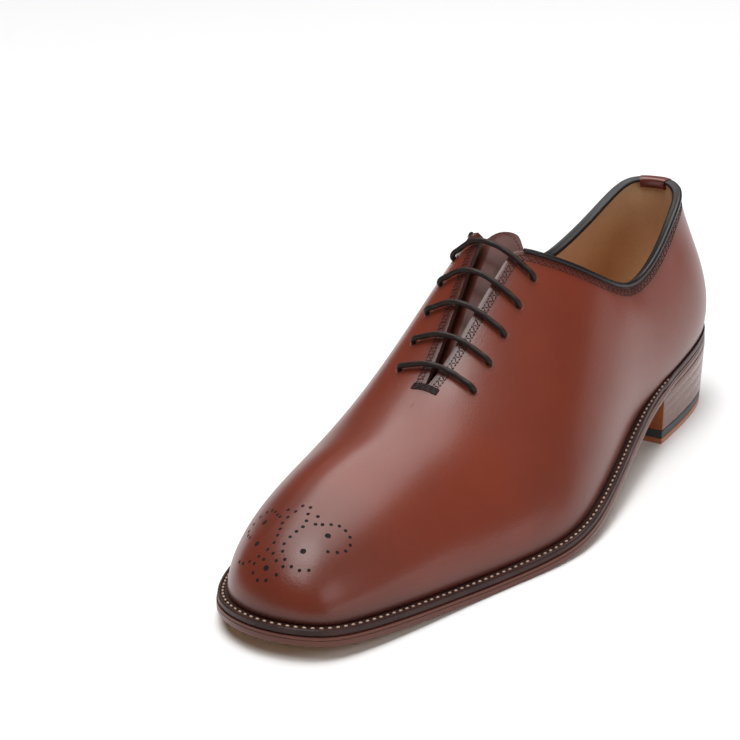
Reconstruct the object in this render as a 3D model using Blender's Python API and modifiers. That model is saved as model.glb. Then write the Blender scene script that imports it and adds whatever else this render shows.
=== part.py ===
"""Whole cut oxford, left shoe, for a foot of European size 41.

The upper is one piece of calf lasted over a shoe last, closed down the instep by five bars of lace.
It stands on a stitched welt, a leather outsole and a stacked heel.
Tables are in millimetres; meshes are made in metres.
x runs from heel to toe, y towards the wearer's left (the outer side), z up from the floor.
"""
from collections import namedtuple

import bmesh
import bpy
import numpy as np
from mathutils import Matrix, Vector

MM = 0.001
FIT_GAP = 0.3

# Driving sizes of the bottom
BREAST_X = 70.0
WELT_WIDTH = 4.2
RAND_WIDTH = 0.8
WELT_THICKNESS = 2.3
OUTSOLE_THICKNESS = 3.4
OUTSOLE_STEP = 0.5
RUBBER_TOP = 5.6
TOPLIFT_TOP = 2.2
HEEL_TAPER = 1.8
INSOLE_INSET = 3.3
INSOLE_RISE = 0.8
WELT_INSIDE = 3.0

# Driving sizes of the upper
WALL = 2.0
BINDING_THICKNESS = 0.7
BINDING_LEG = 0.9
BINDING_INNER_LEG = 0.3
TAB_THICKNESS = 1.0
TAB_LEG = 4.5
TAB_INNER_LEG = 2.5
THROAT_CORNER = 6.0
TONGUE_THICKNESS = 1.6
TONGUE_HALF_WIDTH = 20.0
LACE_DIAMETER = 2.2
EYELET_DIAMETER = 3.4
EYELET_FIRST_X = 132.0
EYELET_PITCH = 11.8
EYELET_REACH = 17.0
EYELET_TAPER = 0.35
BARS = 5

# One row for each section of the last, from the tip of the toe to the back of the heel.
# x and the half widths place the feather line, where the upper meets the welt; the top columns place
# the crest of the instep, or behind the throat a line just above the collar; rise and lean shape the
# side wall as it leaves the welt; shoulder and droop shape it as it turns over to the crest.
Section = namedtuple("Section", "x medial lateral top_x top_z top_medial top_lateral rise "
                                "lean_medial lean_lateral shoulder_medial shoulder_lateral droop")
SECTIONS = [
    Section(291, 1, -1, 262, 38.8, 3, -3, 12, 0.5, 0.5, 18, 18, 5),
    Section(287, 16.5, 15, 259, 39.8, 3.5, -3.5, 12.5, 0.7, 0.7, 18, 18, 5),
    Section(276, 27.7, 23.8, 253, 41.6, 4.5, -4.5, 13.5, 1, 1, 18, 18, 4),
    Section(255, 37, 30.8, 239, 45.2, 5, -5, 15, 2, 2, 22, 21, 3),
    Section(229, 42.8, 37.7, 222, 49, 3, -3, 17, 3, 2, 27, 23, 2),
    Section(202, 45.5, 45.5, 201, 53.5, 1.5, -1.5, 19, 5, 1, 32, 22, 2),
    Section(174, 42, 52, 177, 65, 2, -2, 24, 9, 1, 33, 21, 2),
    Section(146, 34, 49.4, 154, 81.5, 5.5, -5.5, 32, 12, 2, 32, 23, 2),
    Section(120, 29, 43.8, 132, 97, 9, -9, 38, 11, 3, 29, 27, 1),
    Section(96, 28, 39, 108, 105.5, 9, -6, 38, 8, 4, 22, 25, 8),
    Section(72, 29.5, 37, 80, 99, 9, 14, 32, 5, 4, 5, 5, 22),
    Section(46, 31, 35.5, 48, 97, 12, 21, 26, 4, 5, 1, 1, 24),
    Section(20, 26.5, 30, 21, 97, 12, 17, 24, 4, 6, 1, 1, 24),
    Section(4, 13.5, 17, 9, 97, 8, 9, 24, 5, 6, 0, 0, 24),
    Section(0, -2, 2, 7, 97, -1, 1, 24, 6, 6, 0, 0, 24),
]
HEEL_STATION = len(SECTIONS) - 1
LOOP = 2 * HEEL_STATION

# Height of the feather line above the floor: the heel seat, the arch, the ball and the toe spring
FeatherPoint = namedtuple("FeatherPoint", "x z")
FEATHER = [
    FeatherPoint(0, 33.4), FeatherPoint(20, 32.5), FeatherPoint(45, 30.2), FeatherPoint(70, 27.0),
    FeatherPoint(95, 22.6), FeatherPoint(120, 17.2), FeatherPoint(150, 11.3), FeatherPoint(175, 7.7),
    FeatherPoint(200, 6.3), FeatherPoint(215, 6.3), FeatherPoint(235, 7.2), FeatherPoint(255, 8.6),
    FeatherPoint(275, 10.3), FeatherPoint(290, 11.9),
]

# Height of the finished collar edge on each side
CollarPoint = namedtuple("CollarPoint", "x lateral medial")
COLLAR = [
    CollarPoint(0, 90.5, 90.5), CollarPoint(15, 88.8, 87), CollarPoint(35, 84.3, 76.5),
    CollarPoint(55, 76, 70.7), CollarPoint(75, 70.8, 72), CollarPoint(95, 75.8, 82),
    CollarPoint(115, 88.5, 92), CollarPoint(130, 97.5, 103), CollarPoint(140, 104, 110),
]

# The slit down the instep: the place of its middle and how far its two edges stand apart
SlitPoint = namedtuple("SlitPoint", "x y gap")
SLIT = [
    SlitPoint(100, -5, -60), SlitPoint(118, -5, 15), SlitPoint(132, -4.5, 13.3), SlitPoint(140, -4, 11.7),
    SlitPoint(150, -3.2, 9.4), SlitPoint(160, -2.6, 7.2), SlitPoint(172, -1.6, 4.8),
    SlitPoint(182, -1.2, 2.5), SlitPoint(187, -1.1, 0.8), SlitPoint(193, -1.1, -6),
]

# Depth of the tongue's outer face below the outside of the upper, by station from its sewn foot up
TongueRow = namedtuple("TongueRow", "station depth width")
TONGUE = [
    TongueRow(5.0, 2.9, 0.70), TongueRow(5.25, 2.9, 0.85), TongueRow(5.5, 3.4, 0.95),
    TongueRow(5.75, 4.8, 1.0), TongueRow(6.0, 5.4, 1.0), TongueRow(6.5, 5.6, 1.0),
    TongueRow(7.0, 5.6, 1.0), TongueRow(7.5, 5.6, 1.0), TongueRow(8.0, 5.8, 1.0),
    TongueRow(8.2, 6.6, 0.97), TongueRow(8.4, 7.8, 0.92), TongueRow(8.6, 9.2, 0.82),
    TongueRow(8.74, 10.2, 0.68),
]

# Colours as linear red, green and blue, then roughness
Finish = namedtuple("Finish", "red green blue roughness")
CALF = Finish(0.20, 0.045, 0.024, 0.32)
DARK_CALF = Finish(0.09, 0.025, 0.016, 0.40)
LINING = Finish(0.50, 0.28, 0.13, 0.75)
WAXED_CORD = Finish(0.018, 0.013, 0.011, 0.55)
BINDING_LEATHER = Finish(0.02, 0.012, 0.012, 0.45)
WELT_LEATHER = Finish(0.06, 0.022, 0.018, 0.45)
SOLE_LEATHER = Finish(0.14, 0.055, 0.045, 0.42)
HEEL_LEATHER = Finish(0.16, 0.085, 0.075, 0.40)
RUBBER = Finish(0.035, 0.042, 0.045, 0.60)
TAN_LEATHER = Finish(0.45, 0.13, 0.045, 0.50)


def clear_scene():
    for old in list(bpy.data.objects):
        bpy.data.objects.remove(old, do_unlink=True)


def new_collection(name):
    collection = bpy.data.collections.new(name)
    bpy.context.scene.collection.children.link(collection)
    return collection


def column(rows, name):
    """One named column of a table as an array."""
    return np.array([getattr(row, name) for row in rows], float)


def spline(knots, values, at, period=None):
    """Smooth cubic curve through values at knots: natural at its ends, or closed with a period."""
    if values.ndim == 1:
        return spline(knots, values[:, None], at, period)[..., 0]
    count = len(knots)
    at = np.asarray(at, float)
    matrix = np.eye(count)
    right = np.zeros(values.shape)
    if period is None:
        step = np.diff(knots)
        inner = range(1, count - 1)
    else:
        step = np.diff(np.append(knots, knots[0] + period))
        inner = range(count)
        matrix[:] = 0
        at = knots[0] + (at - knots[0]) % period
    for i in inner:
        after = (i + 1) % count
        matrix[i, i - 1] += step[i - 1]
        matrix[i, i] = 2 * (step[i - 1] + step[i])
        matrix[i, after] += step[i]
        right[i] = 6 * ((values[after] - values[i]) / step[i] - (values[i] - values[i - 1]) / step[i - 1])
    bend = np.linalg.solve(matrix, right)
    first = np.clip(np.searchsorted(knots, at, side="right") - 1, 0, len(step) - 1)
    second = (first + 1) % count
    length = step[first][..., None]
    b = (at - knots[first])[..., None] / length
    a = 1 - b
    curve = a * values[first] + b * values[second]
    return curve + ((a ** 3 - a) * bend[first] + (b ** 3 - b) * bend[second]) * length ** 2 / 6


def feather_height(x):
    ends = np.clip(x, -5, 300)
    return spline(column(FEATHER, "x"), column(FEATHER, "z"), ends)


def control_column(row, side):
    """Four control points from the feather line to the crest; side is 1 lateral, -1 medial."""
    lateral = side > 0
    foot_y = side * (row.lateral if lateral else row.medial)
    top_y = side * (row.top_lateral if lateral else row.top_medial)
    lean = row.lean_lateral if lateral else row.lean_medial
    shoulder = row.shoulder_lateral if lateral else row.shoulder_medial
    foot = np.array([row.x, foot_y, feather_height(row.x)])
    top = np.array([row.top_x, top_y, row.top_z])
    out = np.array([foot[0] - top[0], foot[1] - top[1], 0.0])
    out /= np.linalg.norm(out)
    up = np.array([0.0, 0.0, 1.0])
    return np.stack([foot, foot + up * row.rise + out * lean, top + out * shoulder - up * row.droop, top])


CAGE = np.array([control_column(row, 1) for row in SECTIONS]
                + [control_column(row, -1) for row in SECTIONS[-2:0:-1]])
CAGE_KNOTS = np.arange(LOOP, dtype=float)


def last_point(t, v):
    """A point on the outside of the upper.

    t counts stations round the shoe: 0 at the toe tip, up the lateral side to HEEL_STATION at the
    heel, and on along the medial side back to LOOP. v runs from 0 at the welt to 1 at the crest.
    """
    t, v = np.broadcast_arrays(np.asarray(t, float), np.asarray(v, float))
    flat = spline(CAGE_KNOTS, CAGE.reshape(LOOP, 12), t, LOOP)
    controls = flat.reshape(*t.shape, 4, 3)
    weights = np.stack([(1 - v) ** 3, 3 * v * (1 - v) ** 2, 3 * v * v * (1 - v), v ** 3], -1)
    return np.einsum("...k,...kc->...c", weights, controls)


def last_frame(t, v):
    """Outward normal of the upper, and the direction that climbs it, at a place (t, v)."""
    small = 1e-3
    v = np.clip(v, small, 1 - small)
    along = last_point(np.add(t, small), v) - last_point(np.subtract(t, small), v)
    climb = last_point(t, v + small) - last_point(t, v - small)
    climb /= np.linalg.norm(climb, axis=-1, keepdims=True)
    normal = np.cross(along, climb)
    normal /= np.linalg.norm(normal, axis=-1, keepdims=True)
    return normal, climb


def leather_left(p):
    """How far a point lies inside the cut of the collar and the slit; negative where cut away."""
    x, y, z = p[..., 0], p[..., 1], p[..., 2]
    knots = column(COLLAR, "x")
    near = np.clip(x, 0, knots[-1])
    lateral = spline(knots, column(COLLAR, "lateral"), near)
    medial = spline(knots, column(COLLAR, "medial"), near)
    share = np.clip(0.5 + y / 16, 0, 1)
    share = share * share * (3 - 2 * share)
    collar = medial + (lateral - medial) * share - BINDING_THICKNESS - FIT_GAP
    below = collar + 3 * np.clip(x - 132, 0, None) - z
    slit_x = column(SLIT, "x")
    middle = np.interp(x, slit_x, column(SLIT, "y"))
    beside = np.abs(y - middle) - np.interp(x, slit_x, column(SLIT, "gap")) / 2
    short_below = np.maximum(THROAT_CORNER - below, 0)
    short_beside = np.maximum(THROAT_CORNER - beside, 0)
    rounded = THROAT_CORNER - np.hypot(short_below, short_beside)
    clear = (short_below == 0) & (short_beside == 0)
    return np.where(clear, np.minimum(below, beside), rounded)


def cut_height(t):
    """The v at which the column at t meets the cut edge, or 1 where it runs to the crest."""
    lowest = 0.3
    heights = np.linspace(lowest, 1, 141)
    left = leather_left(last_point(np.full_like(heights, t), heights))
    cut = np.where(left < 0)[0]
    if len(cut) == 0:
        return 1.0
    low, high = heights[cut[0] - 1], heights[cut[0]]
    for _ in range(30):
        middle = (low + high) / 2
        if leather_left(last_point(t, middle)) < 0:
            high = middle
        else:
            low = middle
    return (low + high) / 2


def half_columns():
    """Stations of the lateral side, four to a section, with more round the corner of the throat."""
    even = np.arange(0, HEEL_STATION + 0.1, 0.25)
    corner = np.array([7.87, 8.06, 8.12, 8.18, 8.37])
    return np.unique(np.concatenate([even, corner]))


LATERAL_COLUMNS = half_columns()
COLUMNS = np.concatenate([LATERAL_COLUMNS, LOOP - LATERAL_COLUMNS[-2:0:-1]])
CUT = np.array([cut_height(t) for t in COLUMNS])


def place_on_last(x, y):
    """The (t, v) of the point of the instep that lies at x and y, found by Newton steps."""
    t = float(np.interp(-x, [-row.top_x for row in SECTIONS], range(len(SECTIONS))))
    if y < last_point(t, 1.0)[1]:
        t = LOOP - t
    v = 0.85
    small = 1e-4
    for _ in range(40):
        here = last_point(t, v)
        by_t = (last_point(t + small, v) - here) / small
        by_v = (last_point(t, v + small) - here) / small
        jacobian = np.array([[by_t[0], by_v[0]], [by_t[1], by_v[1]]])
        step = np.linalg.solve(jacobian, [x - here[0], y - here[1]])
        t += float(np.clip(step[0], -0.3, 0.3))
        v = float(np.clip(v + np.clip(step[1], -0.1, 0.1), 0.3, 1.0))
    return t, v


def material(name, finish):
    made = bpy.data.materials.new(name)
    made.use_nodes = True
    made.diffuse_color = (finish.red, finish.green, finish.blue, 1)
    shader = made.node_tree.nodes["Principled BSDF"]
    shader.inputs["Base Color"].default_value = (finish.red, finish.green, finish.blue, 1)
    shader.inputs["Roughness"].default_value = finish.roughness
    shader.inputs["Metallic"].default_value = 0
    return made


def add_object(name, data, finish, collection):
    made = bpy.data.objects.new(name, data)
    collection.objects.link(made)
    data.materials.append(material(name + "_finish", finish))
    return made


def mesh_from(name, points, faces):
    """A mesh in metres from points in millimetres, its doubles merged and its faces turned out."""
    mesh = bpy.data.meshes.new(name)
    mesh.from_pydata([tuple(MM * c for c in p) for p in points], [], faces)
    work = bmesh.new()
    work.from_mesh(mesh)
    bmesh.ops.remove_doubles(work, verts=work.verts, dist=0.01 * MM)
    bmesh.ops.dissolve_degenerate(work, dist=0.001 * MM, edges=work.edges)
    bmesh.ops.recalc_face_normals(work, faces=work.faces)
    work.to_mesh(mesh)
    work.free()
    mesh.shade_smooth()
    mesh.set_sharp_from_angle(angle=0.7)
    return mesh


def turn_skin_out(mesh):
    """Makes the faces of an open skin look away from the inside of the shoe."""
    inside = Vector((140, 0, 20)) * MM
    outward = sum(face.area * face.normal.dot((face.center - inside).normalized()) for face in mesh.polygons)
    if outward < 0:
        mesh.flip_normals()


def loft(rings, closed_along=False):
    """Points and faces of a skin through equal rings of points, with flat caps at open ends."""
    size = len(rings[0])
    points = [p for ring in rings for p in ring]
    faces = []
    last = len(rings) if closed_along else len(rings) - 1
    for i in range(last):
        here, there = i * size, (i + 1) % len(rings) * size
        for j in range(size):
            k = (j + 1) % size
            faces.append((here + j, here + k, there + k, there + j))
    if not closed_along:
        faces.append(tuple(range(size)))
        faces.append(tuple(range(len(points) - size, len(points))))
    return points, faces


def make_upper(parts, cutters):
    """The lasted upper: an open skin with a wall, cut for the collar, the slit and ten eyelets."""
    rows = 11
    points = []
    index = {}
    levels = np.linspace(0, 1, rows + 1)
    for i, t in enumerate(COLUMNS):
        cut = CUT[i]
        heights = levels * (0.9 * (1 - levels) + cut * levels)
        skin = last_point(np.full_like(heights, t), heights)
        mirrored = (len(COLUMNS) - i) % len(COLUMNS)
        for j in range(rows + 1):
            on_crest = j == rows and cut == 1.0
            if on_crest and (mirrored, j) in index:
                index[i, j] = index[mirrored, j]
                continue
            index[i, j] = len(points)
            points.append(skin[j])
    faces = []
    for i in range(len(COLUMNS)):
        k = (i + 1) % len(COLUMNS)
        for j in range(rows):
            corners = [index[i, j], index[k, j], index[k, j + 1], index[i, j + 1]]
            faces.append(tuple(dict.fromkeys(corners)))
    mesh = mesh_from("upper", points, faces)
    turn_skin_out(mesh)
    upper = add_object("upper", mesh, CALF, parts)
    wall = upper.modifiers.new("Wall", "SOLIDIFY")
    wall.thickness = WALL * MM
    wall.offset = -1
    punch = upper.modifiers.new("Eyelets", "BOOLEAN")
    punch.operation = "DIFFERENCE"
    punch.object = make_eyelet_punch(cutters)
    return upper


def eyelet_places():
    """For each bar, top to toe, the (t, v) of its medial and its lateral eyelet."""
    places = []
    for bar in range(BARS):
        x = EYELET_FIRST_X + bar * EYELET_PITCH
        middle = np.interp(x, column(SLIT, "x"), column(SLIT, "y"))
        reach = EYELET_REACH - bar * EYELET_TAPER
        places.append((place_on_last(x, middle - reach), place_on_last(x, middle + reach)))
    return places


def make_eyelet_punch(cutters):
    """Ten round punches through the wall, square to the leather."""
    work = bmesh.new()
    for pair in eyelet_places():
        for t, v in pair:
            normal, _ = last_frame(t, v)
            centre = last_point(t, v) - normal * WALL / 2
            turn = Vector(normal).to_track_quat("Z", "Y").to_matrix().to_4x4()
            bmesh.ops.create_cone(work, cap_ends=True, segments=10, radius1=EYELET_DIAMETER / 2 * MM,
                                  radius2=EYELET_DIAMETER / 2 * MM, depth=3 * WALL * MM,
                                  matrix=Matrix.Translation(Vector(centre) * MM) @ turn)
    mesh = bpy.data.meshes.new("eyelet_punch")
    work.to_mesh(mesh)
    work.free()
    punch = bpy.data.objects.new("eyelet_punch", mesh)
    cutters.objects.link(punch)
    punch.hide_render = True
    punch.display_type = "WIRE"
    return punch


def across_crest(station, distance, depth):
    """A point under the skin at a distance round from the crest, medial negative, at one station."""
    side = -station if distance < 0 else station
    heights = np.linspace(1, 0.4, 61)
    skin = last_point(np.full_like(heights, side), heights)
    walked = np.concatenate([[0], np.cumsum(np.linalg.norm(np.diff(skin, axis=0), axis=1))])
    v = float(np.interp(abs(distance), walked, heights))
    normal, _ = last_frame(side, v)
    if v > 0.99:
        normal = normal + last_frame(-side, v)[0]
        normal /= np.linalg.norm(normal)
    return last_point(side, v) - normal * depth


def make_tongue(parts):
    """The tongue: one sheet that lies over the crest inside the facings, round at its top."""
    stations = column(TONGUE, "station")
    points = []
    half = 6
    for row in TONGUE:
        reach = TONGUE_HALF_WIDTH * row.width
        freed = np.clip((row.station - 7.4) / 1.2, 0, 1)
        sag = 0.3 * freed
        edge_depth = min(row.depth, 5.6)
        medial = across_crest(row.station - sag, -reach, edge_depth)
        middle = across_crest(row.station, 0.0, row.depth)
        lateral = across_crest(row.station - sag, reach, edge_depth)
        for j in range(-half, half + 1):
            share = j / half
            depth = row.depth + (edge_depth - row.depth) * share ** 2
            under_skin = across_crest(row.station - sag * share ** 2, share * reach, depth)
            chord = (medial + lateral) / 2
            arched = chord + (lateral - medial) * share / 2 + (middle - chord) * (1 - share ** 2)
            points.append(under_skin + (arched - under_skin) * freed)
    wide = 2 * half + 1
    faces = []
    for i in range(len(stations) - 1):
        for j in range(wide - 1):
            a = i * wide + j
            faces.append((a, a + 1, a + wide + 1, a + wide))
    mesh = mesh_from("tongue", points, faces)
    turn_skin_out(mesh)
    tongue = add_object("tongue", mesh, DARK_CALF, parts)
    sheet = tongue.modifiers.new("Sheet", "SOLIDIFY")
    sheet.thickness = TONGUE_THICKNESS * MM
    sheet.offset = -1
    return tongue


def bar_points(bar, ends):
    """Points of one bar over the instep: it bears on both edges of the slit and bridges the gap."""
    clear = LACE_DIAMETER / 2 + 0.9
    x = EYELET_FIRST_X + bar * EYELET_PITCH
    middle = np.interp(x, column(SLIT, "x"), column(SLIT, "y"))
    half_gap = np.interp(x, column(SLIT, "x"), column(SLIT, "gap")) / 2 + 1
    start, end = (last_point(*place)[1] for place in ends)
    half_gap *= np.sign(end - start)
    near, far = middle - half_gap, middle + half_gap
    first, last = 0.9 * start + 0.1 * near, 0.1 * far + 0.9 * end
    bearing = [first, (start + near) / 2, near, far, (far + end) / 2, last]
    knots = np.array([sunk_point(*place_on_last(x, y), -clear) for y in bearing])
    walked = np.concatenate([[0], np.cumsum(np.linalg.norm(np.diff(knots, axis=0), axis=1))])
    return list(spline(walked, knots, np.linspace(0, walked[-1], 9)))


def lace_route():
    """Centre line of the lace: bars over the instep, joined by short runs under the facings."""
    radius = LACE_DIAMETER / 2
    under = WALL + radius + 0.7
    route = []
    for bar, (medial, lateral) in enumerate(eyelet_places()):
        ends = [medial, lateral] if bar % 2 == 0 else [lateral, medial]
        route += [sunk_point(*ends[0], depth) for depth in (under, WALL / 2, -radius)]
        route += bar_points(bar, ends)
        route += [sunk_point(*ends[1], depth) for depth in (-radius, WALL / 2, under)]
    return route


def sunk_point(t, v, depth):
    """A point of the skin moved in by depth along its normal."""
    normal, _ = last_frame(t, v)
    return last_point(t, v) - normal * depth


def make_lace(parts):
    """The lace as one round cord through all ten eyelets."""
    curve = bpy.data.curves.new("lace", "CURVE")
    curve.dimensions = "3D"
    curve.bevel_depth = LACE_DIAMETER / 2 * MM
    curve.bevel_resolution = 2
    curve.use_fill_caps = True
    route = lace_route()
    cord = curve.splines.new("POLY")
    cord.points.add(len(route) - 1)
    for point, place in zip(cord.points, route):
        point.co = (*(MM * c for c in place), 1)
    return add_object("lace", curve, WAXED_CORD, parts)


def edge_frame(t):
    """The cut edge at t: its place, the outward normal, and the way up across the edge."""
    small = 0.02
    cut = cut_height(t)
    edge = last_point(t, cut)
    normal, climb = last_frame(t, cut)
    run = last_point(t + small, cut_height(t + small)) - last_point(t - small, cut_height(t - small))
    rise = np.cross(normal, run)
    rise /= np.linalg.norm(rise)
    if rise @ climb < 0:
        rise = -rise
    return edge, normal, rise


def folded_strip(name, stations, legs, thickness, finish, parts):
    """A strip of leather folded over the cut edge; legs are its reach down outside and inside."""
    outer, inner = FIT_GAP, WALL + FIT_GAP
    out_leg, in_leg = legs
    profile = [
        (outer, -out_leg), (outer + thickness, -out_leg), (outer + thickness, FIT_GAP),
        (outer, FIT_GAP + thickness), (-inner, FIT_GAP + thickness), (-inner - thickness, FIT_GAP),
        (-inner - thickness, -in_leg), (-inner, -in_leg), (-inner, FIT_GAP), (outer, FIT_GAP),
    ]
    rings = []
    for t in stations:
        edge, normal, rise = edge_frame(t)
        rings.append([edge + normal * out + rise * up for out, up in profile])
    points, faces = loft(rings)
    return add_object(name, mesh_from(name, points, faces), finish, parts)


def make_collar(parts):
    """Dark binding round the collar in two lengths, and the brown tab that joins them at the back."""
    tab_reach = 0.5
    lateral_front, medial_front = 8.1, 8.2
    lateral = [t for t in COLUMNS if lateral_front < t <= HEEL_STATION - tab_reach]
    medial = [t for t in COLUMNS if HEEL_STATION + tab_reach <= t < LOOP - medial_front]
    tab = [t for t in COLUMNS if abs(t - HEEL_STATION) <= tab_reach]
    gap = 0.03
    lateral[-1] -= gap
    medial[0] += gap
    legs = (BINDING_LEG, BINDING_INNER_LEG)
    folded_strip("collar_binding_lateral", lateral, legs, BINDING_THICKNESS, BINDING_LEATHER, parts)
    folded_strip("collar_binding_medial", medial, legs, BINDING_THICKNESS, BINDING_LEATHER, parts)
    folded_strip("heel_tab", tab, (TAB_LEG, TAB_INNER_LEG), TAB_THICKNESS, CALF, parts)


def edge_width(x):
    """How far the welt stands out from the feather line: broad in front, a thin rand at the heel."""
    return np.interp(x, [60, 100, 150], [RAND_WIDTH, WELT_WIDTH - 0.3, WELT_WIDTH])


def outline_point(t, offset):
    """The feather line at t, moved out in plan by offset."""
    small = 1e-3
    foot = last_point(t, 0.0)
    run = last_point(t + small, 0.0) - last_point(t - small, 0.0)
    out = np.array([run[1], -run[0], 0.0])
    out /= np.linalg.norm(out)
    if out @ (foot - [140, 0, 0]) < 0:
        out = -out
    return foot + out * offset


def plate_rings(width, top, bottom, first=0.0, last=HEEL_STATION):
    """Cross sections of a plate that follows the feather line, from the toe towards the heel."""
    rings = []
    stations = [t for t in LATERAL_COLUMNS if first <= t <= last]
    for t in stations:
        ring = []
        for side, level in ((t, top), (t, bottom), (LOOP - t, bottom), (LOOP - t, top)):
            foot_x = last_point(side, 0.0)[0]
            p = outline_point(side, width(foot_x))
            ring.append((p[0], p[1], level(p[0])))
        rings.append(ring)
    return rings


def make_plate(name, rings, finish, parts):
    points, faces = loft(rings)
    return add_object(name, mesh_from(name, points, faces), finish, parts)


def make_bottom(parts):
    """Welt, outsole and insole, from the feather line down."""
    def welt_top(x):
        return feather_height(x) - FIT_GAP

    def welt_bottom(x):
        return welt_top(x) - WELT_THICKNESS

    def outsole_top(x):
        return welt_bottom(x) - FIT_GAP

    def outsole_bottom(x):
        return max(outsole_top(x) - OUTSOLE_THICKNESS, 0.0)

    welt_rings = []
    for t in COLUMNS:
        ring = []
        foot_x = last_point(t, 0.0)[0]
        outer = edge_width(foot_x) - OUTSOLE_STEP * (foot_x > BREAST_X)
        for offset, level in ((outer, welt_top), (outer, welt_bottom), (-WELT_INSIDE, welt_bottom),
                              (-WELT_INSIDE, welt_top)):
            p = outline_point(t, offset)
            ring.append((p[0], p[1], level(p[0])))
        welt_rings.append(ring)
    points, faces = loft(welt_rings, closed_along=True)
    add_object("welt", mesh_from("welt", points, faces), WELT_LEATHER, parts)
    make_plate("outsole", plate_rings(edge_width, outsole_top, outsole_bottom), SOLE_LEATHER, parts)
    make_plate("insole", plate_rings(lambda x: -INSOLE_INSET, lambda x: feather_height(x) + INSOLE_RISE,
                                     lambda x: outsole_top(x) + FIT_GAP), LINING, parts)
    return outsole_bottom


def make_heel(parts, seat_bottom):
    """Stacked heel: leather lifts, a rubber layer and a tan leather top piece, tapering to the floor."""
    seat = float(seat_bottom(BREAST_X / 2))
    centre = np.array([BREAST_X / 2, 2.0])
    stations = [t for t in LATERAL_COLUMNS if last_point(t, 0.0)[0] < BREAST_X]
    border = [(t, 1) for t in stations] + [(LOOP - t, 1) for t in stations[-2::-1]]

    def level_ring(level):
        """Outline of the heel at a height, drawn in towards the floor, ended by the breast."""
        ring = []
        for t, _ in border:
            p = outline_point(t, RAND_WIDTH)
            height = float(seat_bottom(p[0])) - FIT_GAP if level is None else level
            drawn_in = HEEL_TAPER * (1 - height / seat)
            away = p[:2] - centre
            reach = np.linalg.norm(away)
            x, y = centre + away * (reach - drawn_in) / reach
            ring.append((x, y, height))
        first, last = ring[0], ring[-1]
        breast_height = float(seat_bottom(BREAST_X)) - FIT_GAP if level is None else level
        ring.insert(0, (BREAST_X, first[1], breast_height))
        ring.append((BREAST_X, last[1], breast_height))
        return ring

    layers = [("heel_toplift", 0.0, TOPLIFT_TOP, TAN_LEATHER),
              ("heel_rubber", TOPLIFT_TOP + FIT_GAP, RUBBER_TOP, RUBBER),
              ("heel_stack", RUBBER_TOP + FIT_GAP, None, HEEL_LEATHER)]
    for name, bottom, top, finish in layers:
        low, high = level_ring(bottom), level_ring(top)
        size = len(low)
        points = low + high
        faces = [(j, (j + 1) % size, size + (j + 1) % size, size + j) for j in range(size)]
        for j in range(size // 2):
            a, b, c, d = j, j + 1, size - 2 - j, size - 1 - j
            if b >= c:
                continue
            faces.append((a, b, c, d))
            faces.append((size + a, size + d, size + c, size + b))
        middle = size // 2
        faces.append((middle - 1, middle, middle + 1))
        faces.append((size + middle - 1, size + middle + 1, size + middle))
        add_object(name, mesh_from(name, points, faces), finish, parts)


def centre_over_origin(objects):
    """Moves every object so that the middle of the whole shoe stands over the origin."""
    bpy.context.view_layer.update()
    graph = bpy.context.evaluated_depsgraph_get()
    lowest = np.full(3, np.inf)
    highest = np.full(3, -np.inf)
    for item in objects:
        seen = item.evaluated_get(graph)
        mesh = seen.to_mesh()
        places = np.array([item.matrix_world @ vertex.co for vertex in mesh.vertices])
        seen.to_mesh_clear()
        lowest = np.minimum(lowest, places.min(axis=0))
        highest = np.maximum(highest, places.max(axis=0))
    middle = (lowest + highest) / 2
    shift = Vector((-middle[0], -middle[1], -lowest[2]))
    for item in objects:
        item.location = shift
    return shift


clear_scene()
shoe = new_collection("whole_cut_oxford")
cutter_set = new_collection("cutters")
make_upper(shoe, cutter_set)
make_tongue(shoe)
make_lace(shoe)
make_collar(shoe)
underside = make_bottom(shoe)
make_heel(shoe, underside)
move = centre_over_origin(list(shoe.objects))
for tool in cutter_set.objects:
    tool.location = move
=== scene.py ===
"""Whole cut oxford, left shoe: how it looks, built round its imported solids.

Tables are in millimetres on the last: x from the heel to the toe, y to the wearer's left, z up.
"""

import bmesh
import bpy
import numpy as np
from mathutils import Matrix, Vector


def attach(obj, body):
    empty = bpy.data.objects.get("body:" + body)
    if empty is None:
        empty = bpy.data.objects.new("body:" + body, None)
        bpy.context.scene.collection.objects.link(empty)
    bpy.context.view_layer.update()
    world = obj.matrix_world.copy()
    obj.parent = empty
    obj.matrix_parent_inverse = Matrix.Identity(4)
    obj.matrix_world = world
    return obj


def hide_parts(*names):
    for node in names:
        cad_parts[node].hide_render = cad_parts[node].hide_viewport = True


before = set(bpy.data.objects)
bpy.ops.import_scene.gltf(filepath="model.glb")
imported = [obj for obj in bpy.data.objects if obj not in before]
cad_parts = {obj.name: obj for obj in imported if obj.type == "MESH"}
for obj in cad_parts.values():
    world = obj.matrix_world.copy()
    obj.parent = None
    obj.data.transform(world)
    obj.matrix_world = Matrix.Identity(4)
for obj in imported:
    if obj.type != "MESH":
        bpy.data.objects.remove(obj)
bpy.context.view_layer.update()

# The upper
# One piece of calf pulled over the last in a single skin, with no seam on its outside. It is open at
# the collar and down the instep, and it is lined with leather that is skived thin at the edges.
MM = 0.001
LAST_TO_FRAME = np.array([-146.8313, -3.3207, 0.0])
WALL = 2.0
THROAT_CORNER = 6.0
COLLAR_CUT = 1.0
CALF_RED, CALF_DARK = (0.195, 0.036, 0.018, 1), (0.042, 0.009, 0.006, 1)
LINING_TAN, SUEDE_TAN = (0.76, 0.47, 0.33, 1), (0.76, 0.50, 0.27, 1)
SUEDE_SHADOW, SUEDE_FLECK = (0.60, 0.36, 0.17, 1), (0.84, 0.60, 0.36, 1)
LINING_JOIN = (-0.0735, -0.0745)
EDGE_DARK = (0.05, 0.017, 0.012, 1)

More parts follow.
